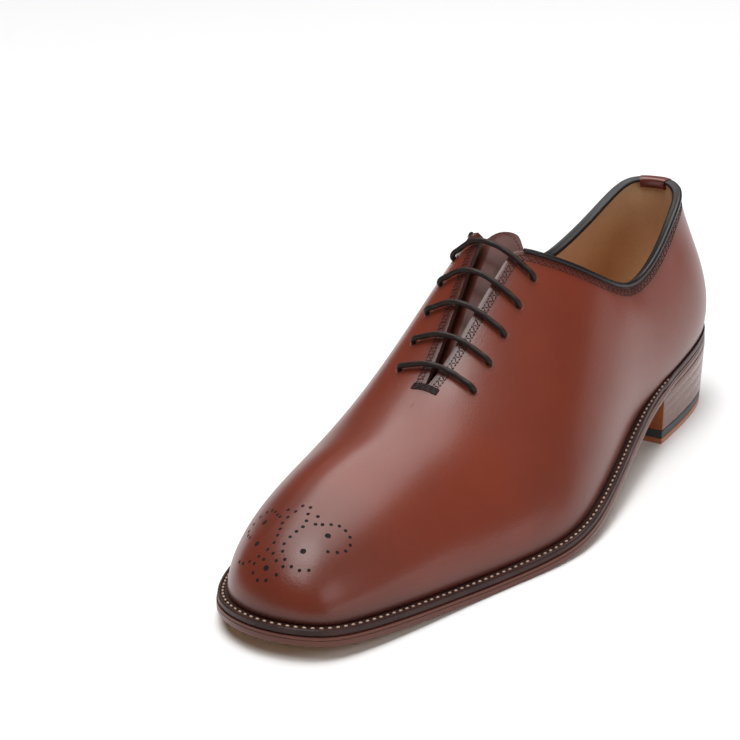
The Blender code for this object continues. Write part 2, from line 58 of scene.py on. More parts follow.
# Sections of the last from the tip of the toe to the heel: x, half widths at the welt (medial,
# lateral), the crest (x, z, medial, lateral), rise, lean (medial, lateral), shoulder (medial,
# lateral) and droop
SECTIONS = np.array([
    (291, 1, -1, 262, 38.8, 3, -3, 12, 0.5, 0.5, 18, 18, 5),
    (287, 16.5, 15, 259, 39.8, 3.5, -3.5, 12.5, 0.7, 0.7, 18, 18, 5),
    (276, 27.7, 23.8, 253, 41.6, 4.5, -4.5, 13.5, 1, 1, 18, 18, 4),
    (255, 37, 30.8, 239, 45.2, 5, -5, 15, 2, 2, 22, 21, 3),
    (229, 42.8, 37.7, 222, 49, 3, -3, 17, 3, 2, 27, 23, 2),
    (202, 45.5, 45.5, 201, 53.5, 1.5, -1.5, 19, 5, 1, 32, 22, 2),
    (174, 42, 52, 177, 65, 2, -2, 24, 9, 1, 33, 21, 2),
    (146, 34, 49.4, 154, 81.5, 5.5, -5.5, 32, 12, 2, 32, 23, 2),
    (120, 29, 43.8, 132, 97, 9, -9, 38, 11, 3, 29, 27, 1),
    (96, 28, 39, 108, 105.5, 9, -6, 38, 8, 4, 22, 25, 8),
    (72, 29.5, 37, 80, 99, 9, 14, 32, 5, 4, 5, 5, 22),
    (46, 31, 35.5, 48, 97, 12, 21, 26, 4, 5, 1, 1, 24),
    (20, 26.5, 30, 21, 97, 12, 17, 24, 4, 6, 1, 1, 24),
    (4, 13.5, 17, 9, 97, 8, 9, 24, 5, 6, 0, 0, 24),
    (0, -2, 2, 7, 97, -1, 1, 24, 6, 6, 0, 0, 24),
], float)
HEEL_STATION = len(SECTIONS) - 1
LOOP = 2 * HEEL_STATION
FEATHER = np.array([
    (0, 33.4), (20, 32.5), (45, 30.2), (70, 27), (95, 22.6), (120, 17.2), (150, 11.3), (175, 7.7),
    (200, 6.3), (215, 6.3), (235, 7.2), (255, 8.6), (275, 10.3), (290, 11.9),
])
# Height of the collar's finished edge: x, lateral, medial
COLLAR = np.array([
    (0, 90.5, 90.5), (15, 88.8, 87), (35, 84.3, 76.5), (55, 76, 70.7), (75, 70.8, 72),
    (95, 75.8, 82), (115, 88.5, 92), (130, 97.5, 103), (140, 104, 110),
])
# The slit down the instep: x, y of its middle, gap between its edges
SLIT = np.array([
    (100, -5, -60), (118, -5, 15), (132, -4.5, 13.3), (140, -4, 11.7), (150, -3.2, 9.4),
    (160, -2.6, 7.2), (172, -1.6, 4.8), (182, -1.2, 2.5), (187, -1.1, 0.8), (193, -1.1, -6),
])


def fitted(knots, values, period=None):
    """Smooth cubic curve through values at knots, as a function: natural at its ends, or closed."""
    knots, values = np.asarray(knots, float), np.asarray(values, float)
    flat = values.reshape(len(knots), -1)
    count = len(knots)
    matrix = np.eye(count)
    right = np.zeros(flat.shape)
    if period is None:
        step = np.diff(knots)
        inner = range(1, count - 1)
    else:
        step = np.diff(np.append(knots, knots[0] + period))
        inner = range(count)
        matrix[:] = 0
    for i in inner:
        after = (i + 1) % count
        matrix[i, i - 1] += step[i - 1]
        matrix[i, i] = 2 * (step[i - 1] + step[i])
        matrix[i, after] += step[i]
        right[i] = 6 * ((flat[after] - flat[i]) / step[i] - (flat[i] - flat[i - 1]) / step[i - 1])
    bend = np.linalg.solve(matrix, right)

    def curve(at):
        at = np.asarray(at, float)
        if period is not None:
            at = knots[0] + (at - knots[0]) % period
        first = np.clip(np.searchsorted(knots, at, side="right") - 1, 0, len(step) - 1)
        second = (first + 1) % count
        length = step[first][..., None]
        b = (at - knots[first])[..., None] / length
        a = 1 - b
        line = a * flat[first] + b * flat[second]
        line = line + ((a ** 3 - a) * bend[first] + (b ** 3 - b) * bend[second]) * length ** 2 / 6
        return line[..., 0] if values.ndim == 1 else line

    return curve


feather_line = fitted(FEATHER[:, 0], FEATHER[:, 1])
collar_line = fitted(COLLAR[:, 0], COLLAR[:, 1:])


def feather_height(x):
    return feather_line(np.clip(x, -5, 300))


def last_controls(section, side):
    """Four control points from the welt to the crest; side is 1 lateral, -1 medial."""
    (x, medial, lateral, top_x, top_z, top_m, top_l, rise, lean_m, lean_l, shoulder_m, shoulder_l,
     droop) = section
    outer = side > 0
    foot = np.array([x, side * (lateral if outer else medial), feather_height(x)])
    top = np.array([top_x, side * (top_l if outer else top_m), top_z])
    out = (foot - top) * (1, 1, 0)
    out /= np.linalg.norm(out)
    lean, shoulder = (lean_l, shoulder_l) if outer else (lean_m, shoulder_m)
    return np.stack([foot, foot + (0, 0, rise) + out * lean, top + out * shoulder - (0, 0, droop), top])


LAST_CONTROLS = np.array([last_controls(row, 1) for row in SECTIONS]
                         + [last_controls(row, -1) for row in SECTIONS[-2:0:-1]]).reshape(LOOP, 12)
last_skin = fitted(np.arange(LOOP), LAST_CONTROLS, LOOP)


def last_point(t, v):
    """Outside of the upper: t counts stations round the shoe, v climbs from the welt to the crest."""
    t, v = np.broadcast_arrays(np.asarray(t, float), np.asarray(v, float))
    controls = last_skin(t).reshape(*t.shape, 4, 3)
    weights = np.stack([(1 - v) ** 3, 3 * v * (1 - v) ** 2, 3 * v * v * (1 - v), v ** 3], -1)
    return np.einsum("...k,...kc->...c", weights, controls)


def last_frame(t, v):
    """Outward normal of the upper and the direction that climbs it."""
    small = 1e-3
    v = np.clip(v, small, 1 - small)
    along = last_point(np.add(t, small), v) - last_point(np.subtract(t, small), v)
    climb = last_point(t, v + small) - last_point(t, v - small)
    climb /= np.linalg.norm(climb, axis=-1, keepdims=True)
    normal = np.cross(along, climb)
    return normal / np.linalg.norm(normal, axis=-1, keepdims=True), climb


def sunk_point(t, v, depth):
    return last_point(t, v) - last_frame(t, v)[0] * depth


def leather_left(p):
    """How far a point lies inside the cut of the collar and the slit; negative where cut away."""
    x, y, z = p[..., 0], p[..., 1], p[..., 2]
    heights = collar_line(np.clip(x, 0, COLLAR[-1, 0]))
    lateral, medial = heights[..., 0], heights[..., 1]
    share = np.clip(0.5 + y / 16, 0, 1)
    share = share * share * (3 - 2 * share)
    below = medial + (lateral - medial) * share - COLLAR_CUT + 3 * np.clip(x - 132, 0, None) - z
    middle, gap = (np.interp(x, SLIT[:, 0], SLIT[:, side]) for side in (1, 2))
    beside = np.abs(y - middle) - gap / 2
    short_below = np.maximum(THROAT_CORNER - below, 0)
    short_beside = np.maximum(THROAT_CORNER - beside, 0)
    rounded = THROAT_CORNER - np.hypot(short_below, short_beside)
    return np.where((short_below == 0) & (short_beside == 0), np.minimum(below, beside), rounded)


def cut_height(t):
    """The v at which the column at t meets the cut edge, or 1 where it runs to the crest."""
    low, high = 0.3, 1.0
    for samples in (141, 41, 41):
        heights = np.linspace(low, high, samples)
        cut = np.where(leather_left(last_point(np.full_like(heights, t), heights)) < 0)[0]
        if len(cut) == 0:
            return 1.0
        low, high = heights[max(cut[0] - 1, 0)], heights[cut[0]]
    return (low + high) / 2


def all_stations(step, corner_step):
    """Stations right round the shoe, closer together at the two corners of the throat."""
    even, corner = np.arange(0, HEEL_STATION + step / 2, step), np.arange(7.6, 8.7, corner_step)
    half = np.unique(np.round(np.concatenate([even, corner]), 3))
    return np.concatenate([half, LOOP - half[-2::-1]])


def skin(name, places, shell=False, ends=False):
    """An object whose grid of faces lies on places, rows by columns; a shell is closed on itself."""
    rows, columns = places.shape[:2]
    work = bmesh.new()
    work.loops.layers.uv.new("UVMap")
    bmesh.ops.create_grid(work, x_segments=columns - 1, y_segments=rows - 1, size=1, calc_uvs=True)
    moved = (places + LAST_TO_FRAME) * MM
    for vert in work.verts:
        row = round((vert.co.y + 1) / 2 * (rows - 1))
        vert.co = moved[row, round((vert.co.x + 1) / 2 * (columns - 1))]
    bmesh.ops.remove_doubles(work, verts=work.verts, dist=0.004 * MM)
    bmesh.ops.dissolve_degenerate(work, dist=0.001 * MM, edges=work.edges)
    if ends:
        bmesh.ops.holes_fill(work, edges=[e for e in work.edges if e.is_boundary], sides=0)
    if shell or ends:
        bmesh.ops.recalc_face_normals(work, faces=work.faces)
    return finished(name, work)


def ringed(name, rings, **closing):
    """A skin over rings of places, one after the other along the piece."""
    return skin(name, np.array(rings).transpose(1, 0, 2), **closing)


def finished(name, work, sharp=0.7):
    """Turns the bmesh into an object with smooth faces, sharp only at its real corners."""
    mesh = bpy.data.meshes.new(name)
    work.to_mesh(mesh)
    work.free()
    mesh.shade_smooth()
    mesh.set_sharp_from_angle(angle=sharp)
    made = bpy.data.objects.new(name, mesh)
    bpy.context.scene.collection.objects.link(made)
    return made


def feed(tree, node, inputs):
    """Gives a node its inputs, each a plain value or a socket to link."""
    for key, value in inputs.items():
        if isinstance(value, bpy.types.NodeSocket):
            tree.links.new(value, node.inputs[key])
        else:
            node.inputs[key].default_value = value
    return node


def add_node(tree, kind, inputs=None, **settings):
    """A shader node with its settings and its inputs; a group node is given its node_tree."""
    made = tree.nodes.new(kind if kind.startswith("Node") else "ShaderNode" + kind)
    for key, value in settings.items():
        setattr(made, key, value)
    return feed(tree, made, inputs or {})


def blend(tree, factor, first, second):
    """A mix of two colours."""
    return add_node(tree, "Mix", {"Factor": factor, 6: first, 7: second}, data_type="RGBA").outputs[2]


def new_finish(name, coat=0.0, coat_roughness=0.1, sheen=0.0, specular=0.5):
    """A material, its node tree and its shader, with the constant values on the shader itself."""
    made = bpy.data.materials.new(name)
    made.use_nodes = True
    shader = made.node_tree.nodes["Principled BSDF"]
    feed(made.node_tree, shader, {"Coat Weight": coat, "Coat Roughness": coat_roughness,
                                  "Sheen Weight": sheen, "Specular IOR Level": specular})
    return made, made.node_tree, shader


def new_group(name, inputs, outputs):
    """A shader group with named sockets; each is (name, kind, value)."""
    group = bpy.data.node_groups.new(name, "ShaderNodeTree")
    for label, kind, value in inputs:
        group.interface.new_socket(label, in_out="INPUT", socket_type=kind).default_value = value
    for label, kind in outputs:
        group.interface.new_socket(label, in_out="OUTPUT", socket_type=kind)
    return group, add_node(group, "NodeGroupInput"), add_node(group, "NodeGroupOutput")


def dress(piece, node_names, slot_name, *finishes):
    """Gives a piece its finishes and its body, and hides the solids that it stands for; slot_name is not
    used.
    """
    for finish in finishes:
        piece.data.materials.append(finish)
    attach(piece, "root")
    if node_names:
        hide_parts(*node_names)
    return piece


def grain_group():
    """Pores and fine wrinkles of leather as a normal."""
    group, given, out = new_group("leather_grain", [
        ("Pore Scale", "NodeSocketFloat", 1800.0), ("Pore Depth", "NodeSocketFloat", 0.00004),
        ("Wave Scale", "NodeSocketFloat", 60.0), ("Wave Depth", "NodeSocketFloat", 0.0002),
    ], [("Normal", "NodeSocketVector")])
    place = add_node(group, "TexCoord").outputs["Object"]
    pores = add_node(group, "TexVoronoi", {"Vector": place, "Scale": given.outputs["Pore Scale"],
                                           "Randomness": 1.0}, feature="SMOOTH_F1")
    waves = add_node(group, "TexNoise", {"Vector": place, "Scale": given.outputs["Wave Scale"],
                                         "Detail": 3.0})
    broad = add_node(group, "Bump", {"Height": waves.outputs["Fac"], "Strength": 1.0,
                                     "Distance": given.outputs["Wave Depth"]})
    fine = add_node(group, "Bump", {"Height": pores.outputs["Distance"],
                                    "Distance": given.outputs["Pore Depth"], "Strength": 1.0,
                                    "Normal": broad.outputs["Normal"]})
    group.links.new(fine.outputs["Normal"], out.inputs["Normal"])
    return group


def dye_group():
    """Cloudy hand dyed colour: two shades mixed by soft noise and by a mask of darker places."""
    group, given, out = new_group("hand_dye", [
        ("Light", "NodeSocketColor", (0.5, 0.5, 0.5, 1)), ("Dark", "NodeSocketColor", (0, 0, 0, 1)),
        ("Cloud Scale", "NodeSocketFloat", 22.0), ("Cloud Amount", "NodeSocketFloat", 0.3),
        ("Mask", "NodeSocketFloat", 0.0),
    ], [("Color", "NodeSocketColor"), ("Cloud", "NodeSocketFloat")])
    place = add_node(group, "TexCoord").outputs["Object"]
    cloud = add_node(group, "TexNoise", {"Vector": place, "Scale": given.outputs["Cloud Scale"],
                                         "Detail": 4.0, "Roughness": 0.55})
    spread = add_node(group, "MapRange", {"Value": cloud.outputs["Fac"], "From Min": 0.32,
                                          "From Max": 0.68})
    share = add_node(group, "Math", {0: spread.outputs["Result"], 1: given.outputs["Cloud Amount"]},
                     operation="MULTIPLY")
    total = add_node(group, "Math", {0: share.outputs[0], 1: given.outputs["Mask"]}, operation="ADD",
                     use_clamp=True)
    mixed = blend(group, total.outputs[0], given.outputs["Light"], given.outputs["Dark"])
    group.links.new(mixed, out.inputs["Color"])
    group.links.new(spread.outputs["Result"], out.inputs["Cloud"])
    return group


LEATHER_GRAIN = grain_group()
HAND_DYE = dye_group()


def leather(name, light, dark, roughness, cloud=(22.0, 0.3), pores=(1800.0, 0.00003),
            waves=(60.0, 0.0001), mask=0.0, **constants):
    """A leather of two shades with pores; mask is a value or the name of an attribute."""
    made, tree, shader = new_finish(name, **constants)
    if isinstance(mask, str):
        mask = add_node(tree, "Attribute", attribute_name=mask).outputs["Fac"]
    dye = add_node(tree, "Group", {"Light": light, "Dark": dark, "Cloud Scale": cloud[0],
                                   "Cloud Amount": cloud[1], "Mask": mask}, node_tree=HAND_DYE)
    grain = add_node(tree, "Group", {"Pore Scale": pores[0], "Pore Depth": pores[1],
                                     "Wave Scale": waves[0], "Wave Depth": waves[1]},
                     node_tree=LEATHER_GRAIN)
    rough = add_node(tree, "MapRange", {"Value": dye.outputs["Cloud"], "To Min": roughness - 0.05,
                                        "To Max": roughness + 0.05})
    feed(tree, shader, {"Base Color": dye.outputs["Color"], "Roughness": rough.outputs["Result"],
                        "Normal": grain.outputs["Normal"]})
    return made


UPPER_ROWS = 60
VAMP_START, VAMP_END, CREST_HALF_WIDTH, CREST_PASSES = 185, 272, 9, 24
STATIONS = all_stations(0.1, 0.03)
CUTS = np.array([cut_height(t) for t in STATIONS])
levels = np.linspace(0, 1, UPPER_ROWS + 1)[:, None]
upper_heights = levels * (0.9 * (1 - levels) + CUTS * levels)
upper_places = last_point(np.broadcast_to(STATIONS, upper_heights.shape), upper_heights)
upper = skin("upper_calf", upper_places)


def soften_crest(piece):
    """Rounds the ridge where the two sides meet along the middle of the vamp."""
    work = bmesh.new()
    work.from_mesh(piece.data)
    order = np.argsort(SECTIONS[:, 3])
    near = []
    for vert in work.verts:
        x, y, z = np.array(vert.co) / MM - LAST_TO_FRAME
        crest_y = np.interp(x, SECTIONS[order, 3], SECTIONS[order, 6])
        on_vamp = VAMP_START < x < VAMP_END and z > 33
        if not vert.is_boundary and on_vamp and abs(y - crest_y) < CREST_HALF_WIDTH:
            near.append(vert)
    for _ in range(CREST_PASSES):
        bmesh.ops.smooth_vert(work, verts=near, factor=0.5, use_axis_x=True, use_axis_y=True,
                              use_axis_z=True)
    work.to_mesh(piece.data)
    work.free()


soften_crest(upper)


def mark_burnish_and_painted_shade(piece):
    """Darker places of the upper: by the welt (burnish with painted shade of the crease), along the cut
    edges, at the toe and at the heel.
    """
    slit_foot, toe_start, toe_length, heel_start, heel_length = 187, 240, 45, 30, 40
    mesh = piece.data
    burnish_and_painted_shade = mesh.attributes.new("burnish_and_painted_shade", "FLOAT", "POINT")
    count = len(mesh.vertices)
    places = np.empty(count * 3)
    mesh.vertices.foreach_get("co", places)
    places = places.reshape(-1, 3) / MM - LAST_TO_FRAME
    above_welt = places[:, 2] - feather_height(places[:, 0])
    inside_cut = leather_left(places) + np.clip(places[:, 0] - slit_foot, 0, None)
    # Painted shade of the crease where the upper meets the welt, together with burnish
    welt_shade = 0.75 * np.exp(-np.clip(above_welt, 0, None) / 3.0)
    cut_shade = 0.7 * np.exp(-(np.clip(inside_cut, 0, None) / 4.2) ** 2)
    toe_shade = 0.35 * np.clip((places[:, 0] - toe_start) / toe_length, 0, 1)
    toe_shade *= np.exp(-((places[:, 2] - 40) / 14) ** 2)
    heel_shade = 0.25 * np.clip((heel_start - places[:, 0]) / heel_length, 0, 1)
    burnish_and_painted_shade.data.foreach_set("value", np.clip(welt_shade + cut_shade + toe_shade + heel_shade, 0, 1))


mark_burnish_and_painted_shade(upper)
wall = upper.modifiers.new("Wall", "SOLIDIFY")
wall.thickness, wall.offset = WALL * MM, -1
wall.material_offset, wall.material_offset_rim = 1, 2
fold = upper.modifiers.new("Folded_edge", "BEVEL")
fold.width, fold.segments = 0.4 * MM, 2
fold.limit_method, fold.angle_limit = "ANGLE", 1.0
# The mask darkens the calf with burnish, and with painted shade along the welt
burnished_calf = leather("burnished_calf", CALF_RED, CALF_DARK, 0.32, cloud=(14.0, 0.35),
                         pores=(1500.0, 0.00004), waves=(45.0, 0.00012), mask="burnish_and_painted_shade",
                         coat=0.12, coat_roughness=0.2, specular=0.38)


def lining_finish():
    """Smooth tan leather in front, napped suede round the heel, joined in the quarter."""
    made, tree, shader = new_finish("lining_leather", sheen=0.25, specular=0.3)
    place = add_node(tree, "TexCoord").outputs["Object"]
    apart = add_node(tree, "SeparateXYZ", {"Vector": place})
    rear = add_node(tree, "MapRange", {"Value": apart.outputs["X"], "From Min": LINING_JOIN[0],
                                       "From Max": LINING_JOIN[1]})
    nap = add_node(tree, "TexNoise", {"Vector": place, "Scale": 700.0, "Detail": 5.0, "Roughness": 0.7})
    brushed = add_node(tree, "TexNoise", {"Vector": place, "Scale": 45.0, "Detail": 3.0,
                                          "Distortion": 1.0})
    stroked = blend(tree, brushed.outputs["Fac"], SUEDE_TAN, SUEDE_SHADOW)
    flecked = blend(tree, nap.outputs["Fac"], stroked, SUEDE_FLECK)
    colour = blend(tree, rear.outputs["Result"], LINING_TAN, flecked)
    rough = add_node(tree, "MapRange", {"Value": rear.outputs["Result"], "To Min": 0.5, "To Max": 0.95})
    bump = add_node(tree, "Bump", {"Height": nap.outputs["Fac"], "Distance": 0.00012, "Strength": 0.5})
    feed(tree, shader, {"Base Color": colour, "Roughness": rough.outputs["Result"],
                        "Normal": bump.outputs["Normal"]})
    return made


lining_leather = lining_finish()
cut_edge = leather("cut_edge_ink", EDGE_DARK, (0.02, 0.008, 0.006, 1), 0.4, pores=(2500.0, 0.00005))
dress(upper, ["upper"], "burnished_calf", burnished_calf, lining_leather, cut_edge)

# Stitching of the facings and the collar
# Two rows of dark waxed thread with a zigzag between them hold the calf to its lining, a few
# millimetres in from the slit and the collar. A bar tack closes the foot of the slit.
THREAD, ZIGZAG_THREAD, TACK_THREAD = 0.5, 0.45, 0.62
ROW_LIFT, ZIGZAG_LIFT, TACK_LIFT = 0.08, 0.05, 0.22
STITCH_PITCH = 1.5
ROWS_FROM_EDGE = (1.9, 4.1)
TACK_THREADS, TACK_REACH, TACK_X, TACK_PITCH = 5, 5.2, 186.4, 0.55


def edge_frame(t):
    """The cut edge at t: its place, the outward normal, and the way up across the edge."""
    small = 0.02
    cut = cut_height(t)
    edge = last_point(t, cut)
    normal, climb = last_frame(t, cut)
    run = last_point(t + small, cut_height(t + small)) - last_point(t - small, cut_height(t - small))
    rise = np.cross(normal, run)
    rise /= np.linalg.norm(rise)
    return edge, normal, rise if rise @ climb > 0 else -rise


def settle(point, t, v):
    """The (t, v) of the place on the last nearest to a point, from a first guess."""
    small = 1e-3
    for _ in range(5):
        here = last_point(t, v)
        by_t = (last_point(t + small, v) - here) / small
        by_v = (last_point(t, v + small) - here) / small
        slopes = np.stack([by_t, by_v], 1)
        step = np.linalg.lstsq(slopes, point - here, rcond=None)[0]
        t += float(np.clip(step[0], -0.3, 0.3))
        v = float(np.clip(v + np.clip(step[1], -0.1, 0.1), 0.02, 1.0))
    return t, v


def walked_along(line):
    """The distance walked along a line of points, at each of them."""
    return np.concatenate([[0], np.cumsum(np.linalg.norm(np.diff(line, axis=0), axis=1))])


def evenly(points, pitch):
    """Points at an even pitch along a line of points."""
    points = np.array(points)
    walked = walked_along(points)
    marks = np.linspace(0, walked[-1], max(2, round(walked[-1] / pitch) + 1))
    return np.stack([np.interp(marks, walked, points[:, axis]) for axis in range(3)], 1)


def lay_stitches(turns, starts, ends, normals, thickness, flat=0.7):
    """Adds, for each start and end, the turn that lays one thread between them on the leather."""
    for start, end, normal in zip(starts, ends, normals):
        along = end - start
        side = np.cross(normal, along)
        side /= np.linalg.norm(side)
        up = np.cross(along, side)
        up /= np.linalg.norm(up)
        turn = np.eye(4)
        turn[:3, :3] = np.stack([along / 2, side * thickness / 2, up * thickness / 2 * flat], 1) * MM
        turn[:3, 3] = ((start + end) / 2 + LAST_TO_FRAME) * MM
        turns.append(turn)


def lay_row(turns, line, normals, gap, thickness, flat=0.7):
    """Lays stitches end to end along a line, each cut short by a share of its length at both ends."""
    short = (line[1:] - line[:-1]) * gap
    lay_stitches(turns, line[:-1] + short, line[1:] - short, normals, thickness, flat)


def thread_bead():
    """The shape of one stitch before it is laid: a bead with its poles along the thread."""
    work = bmesh.new()
    bmesh.ops.create_uvsphere(work, u_segments=6, v_segments=6, radius=1,
                              matrix=Matrix.Rotation(np.pi / 2, 4, "Y"))
    return work


def joined_copies(name, shape, turns):
    """One mesh of a small shape repeated at every turn."""
    corners = np.array([[*vert.co, 1] for vert in shape.verts])
    faces = [[vert.index for vert in face.verts] for face in shape.faces]
    shape.free()
    places = np.concatenate([corners @ turn.T for turn in turns])[:, :3]
    mesh = bpy.data.meshes.new(name)
    mesh.from_pydata(places.tolist(), [], [[index + number * len(corners) for index in face]
                                           for number in range(len(turns)) for face in faces])
    mesh.shade_smooth()
    made = bpy.data.objects.new(name, mesh)
    bpy.context.scene.collection.objects.link(made)
    return made


edge_line = {}
# Side, first and last station of its edge, and the station where the throat's corner starts
EDGES = (("lateral", 5.56, 13.45, 7.7), ("medial", LOOP - 13.45, LOOP - 5.56, LOOP - 8.6))
for side, first, last, corner in EDGES:
    line = np.concatenate([np.arange(first, last, 0.12), np.arange(corner, corner + 0.9, 0.04), [last]])
    edge_line[side] = [(t, *edge_frame(t)) for t in np.unique(np.round(line, 3))]


def row_beside_edge(side, reach):
    """A row of places on the leather at a reach in from the cut edge, with their normals."""
    row = []
    for t, edge, normal, rise in edge_line[side]:
        place = settle(edge - rise * reach, t, max(0.3, cut_height(t) - reach / 80))
        row.append(last_point(*place))
    even = evenly(row, STITCH_PITCH)
    normals = []
    for point in even:
        nearest = int(np.argmin(np.linalg.norm(np.array(row) - point, axis=1)))
        t = edge_line[side][nearest][0]
        place = settle(point, t, 0.7)
        normals.append(last_frame(*place)[0])
    return even, np.array(normals)


facing_turns = []
for side in ("lateral", "medial"):
    rows = [row_beside_edge(side, reach) for reach in ROWS_FROM_EDGE]
    for places, normals in rows:
        lay_row(facing_turns, places + normals * ROW_LIFT, normals[:-1], 0.10, THREAD)
    (inner, inner_normals), (outer, _) = rows
    count = min(len(inner), len(outer))
    inner = inner[np.round(np.linspace(0, len(inner) - 1, count)).astype(int)]
    outer = outer[np.round(np.linspace(0, len(outer) - 1, count)).astype(int)]
    starts = np.where(np.arange(count - 1)[:, None] % 2 == 0, inner[:-1], outer[:-1])
    ends = np.where(np.arange(count - 1)[:, None] % 2 == 0, outer[1:], inner[1:])
    lift = inner_normals[:count - 1] * ZIGZAG_LIFT
    shorter = (ends - starts) * 0.12
    lay_stitches(facing_turns, starts + shorter + lift, ends - shorter + lift,
                 inner_normals[:count - 1], ZIGZAG_THREAD)


def place_on_last(x, y):
    """The (t, v) of the point of the instep or the toe that lies at x and y."""
    lateral = y > np.interp(x, SECTIONS[::-1, 3], SECTIONS[::-1, 6])
    stations = np.arange(0, 9, 0.25) if lateral else LOOP - np.arange(0, 9, 0.25)
    t, v = np.meshgrid(stations, np.linspace(0.3, 1, 36))
    away = np.hypot(*(last_point(t, v)[..., :2] - (x, y)).transpose(2, 0, 1))
    nearest = np.unravel_index(np.argmin(away), away.shape)
    t, v = float(t[nearest]), float(v[nearest])
    small = 1e-4
    for _ in range(12):
        here = last_point(t, v)
        by_t, by_v = last_point(t + small, v) - here, last_point(t, v + small) - here
        slopes = np.stack([by_t[:2], by_v[:2]], 1) / small
        step = np.linalg.lstsq(slopes, np.array([x, y]) - here[:2], rcond=None)[0]
        t += float(np.clip(step[0], -0.2, 0.2))
        v = float(np.clip(v + np.clip(step[1], -0.05, 0.05), 0.3, 1.0))
    return t, v


for number in range(TACK_THREADS):
    x = TACK_X + number * TACK_PITCH
    ys = SLIT[-1, 1] + np.linspace(-TACK_REACH, TACK_REACH, 5)
    span = np.array([sunk_point(*place_on_last(x, y), -TACK_LIFT) for y in ys])
    lay_row(facing_turns, span, [np.array([0.3, 0, 0.95])] * 4, -0.15, TACK_THREAD, flat=1.0)
facing_stitches = joined_copies("facing_stitches", thread_bead(), facing_turns)


def thread_finish(name, light, dark, roughness):
    made, tree, shader = new_finish(name, specular=0.25)
    place = add_node(tree, "TexCoord").outputs["Object"]
    fuzz = add_node(tree, "TexNoise", {"Vector": place, "Scale": 1500.0, "Detail": 3.0})
    colour = blend(tree, fuzz.outputs["Fac"], light, dark)
    bump = add_node(tree, "Bump", {"Height": fuzz.outputs["Fac"], "Distance": 0.00008, "Strength": 0.6})
    feed(tree, shader, {"Base Color": colour, "Roughness": roughness, "Normal": bump.outputs["Normal"]})
    return made


dark_thread = thread_finish("dark_thread", (0.040, 0.014, 0.012, 1), (0.012, 0.005, 0.005, 1), 0.45)
dress(facing_stitches, [], "burnished_calf", dark_thread)

# Collar piping and heel tab
# A thin strip of near black leather is folded over the collar edge and stitched down, in two
# lengths. A brown tab of the upper's own calf wraps the edge where they meet at the back.
PIPING_BLACK = (0.014, 0.010, 0.011, 1)
TAB_REACH = 0.72
# Side, first and last station of its length of piping
PIPING_ENDS = (("lateral", 8.1, HEEL_STATION - 0.47), ("medial", HEEL_STATION + 0.47, LOOP - 8.2))
PIPING_PROFILE = np.array([
    (0.10, -1.0), (0.75, -0.85), (1.0, -0.2), (0.95, 0.55), (0.5, 1.0), (-0.6, 1.05), (-1.7, 1.02),
    (-2.7, 0.85), (-3.0, 0.35), (-2.85, -0.25), (-2.3, -0.3), (-2.28, 0.22), (0.1, 0.22),
])
TAB_PROFILE = np.array([
    (0.15, -4.8), (0.75, -4.75), (1.25, -4.3), (1.3, -1.5), (1.3, 0.4), (1.0, 1.05), (0.2, 1.3),
    (-1.0, 1.32), (-2.4, 1.3), (-3.1, 0.9), (-3.3, 0.2), (-3.3, -2.4), (-2.9, -2.8), (-2.2, -2.8),
    (-2.25, 0.25), (0.15, 0.25),
])


def closed_profile(points, samples):
    """A smooth closed line through the points of a profile."""
    turned = np.vstack([points, points[:1]])
    walked = walked_along(turned)
    return fitted(walked[:-1], points, period=walked[-1])(np.linspace(0, walked[-1], samples + 1))


def folded_over_edge(name, stations, profile):
    """A strip folded over the cut edge, its profile given as (out, up) from the edge."""
    rings = []
    for t in stations:
        edge, normal, rise = edge_frame(t)
        rings.append([edge + normal * out + rise * up for out, up in profile])
    return ringed(name, rings, ends=True)


def strip_stations(first, last):
    inner = STATIONS[(STATIONS > first + 0.01) & (STATIONS < last - 0.01)]
    return np.concatenate([[first], inner, [last]])


piping_leather = leather("piping_leather", PIPING_BLACK, (0.006, 0.005, 0.006, 1), 0.36,
                         pores=(1800.0, 0.00005), specular=0.3)
for side, first, last in PIPING_ENDS:
    piping = folded_over_edge("collar_piping_" + side, strip_stations(first, last),
                              closed_profile(PIPING_PROFILE, 28))
    dress(piping, ["collar_binding_" + side], "binding_leather", piping_leather)
tab_calf = leather("tab_calf", CALF_RED, CALF_DARK, 0.33, pores=(1500.0, 0.00004), mask=0.25,
                   coat=0.3, coat_roughness=0.15)
heel_tab = folded_over_edge("heel_tab_calf",
                            strip_stations(HEEL_STATION - TAB_REACH, HEEL_STATION + TAB_REACH),
                            closed_profile(TAB_PROFILE, 44))
dress(heel_tab, ["heel_tab"], "burnished_calf", tab_calf)

# Tongue
# A separate tongue of calf, its colour darkened as painted shade of the gap between the facings where
# it shows, sewn in at the foot of the slit. It lies over the instep under the facings and ends in a
# round top with one row of dark stitches near its edge.
TONGUE_THICKNESS, TONGUE_HALF_WIDTH, TONGUE_STITCH_PITCH = 1.6, 20.0, 1.9
# Station, depth under the skin and share of the full width
TONGUE = np.array([
    (5.0, 2.9, 0.70), (5.25, 2.9, 0.85), (5.5, 3.4, 0.95), (5.75, 4.8, 1.0), (6.0, 5.4, 1.0),
    (6.5, 5.6, 1.0), (7.0, 5.6, 1.0), (7.5, 5.6, 1.0), (8.0, 5.8, 1.0), (8.2, 6.6, 0.97),
    (8.4, 7.8, 0.92), (8.6, 9.2, 0.82), (8.74, 10.2, 0.68),
])


def across_crest(station, distance, depth):
    """A point under the skin at a distance round from the crest, medial negative, at one station."""
    side = -station if distance < 0 else station
    heights = np.linspace(1, 0.4, 61)
    line = last_point(np.full_like(heights, side), heights)
    v = float(np.interp(abs(distance), walked_along(line), heights))
    normal, _ = last_frame(side, v)
    if v > 0.99:
        normal = normal + last_frame(-side, v)[0]
        normal /= np.linalg.norm(normal)
    return last_point(side, v) - normal * depth


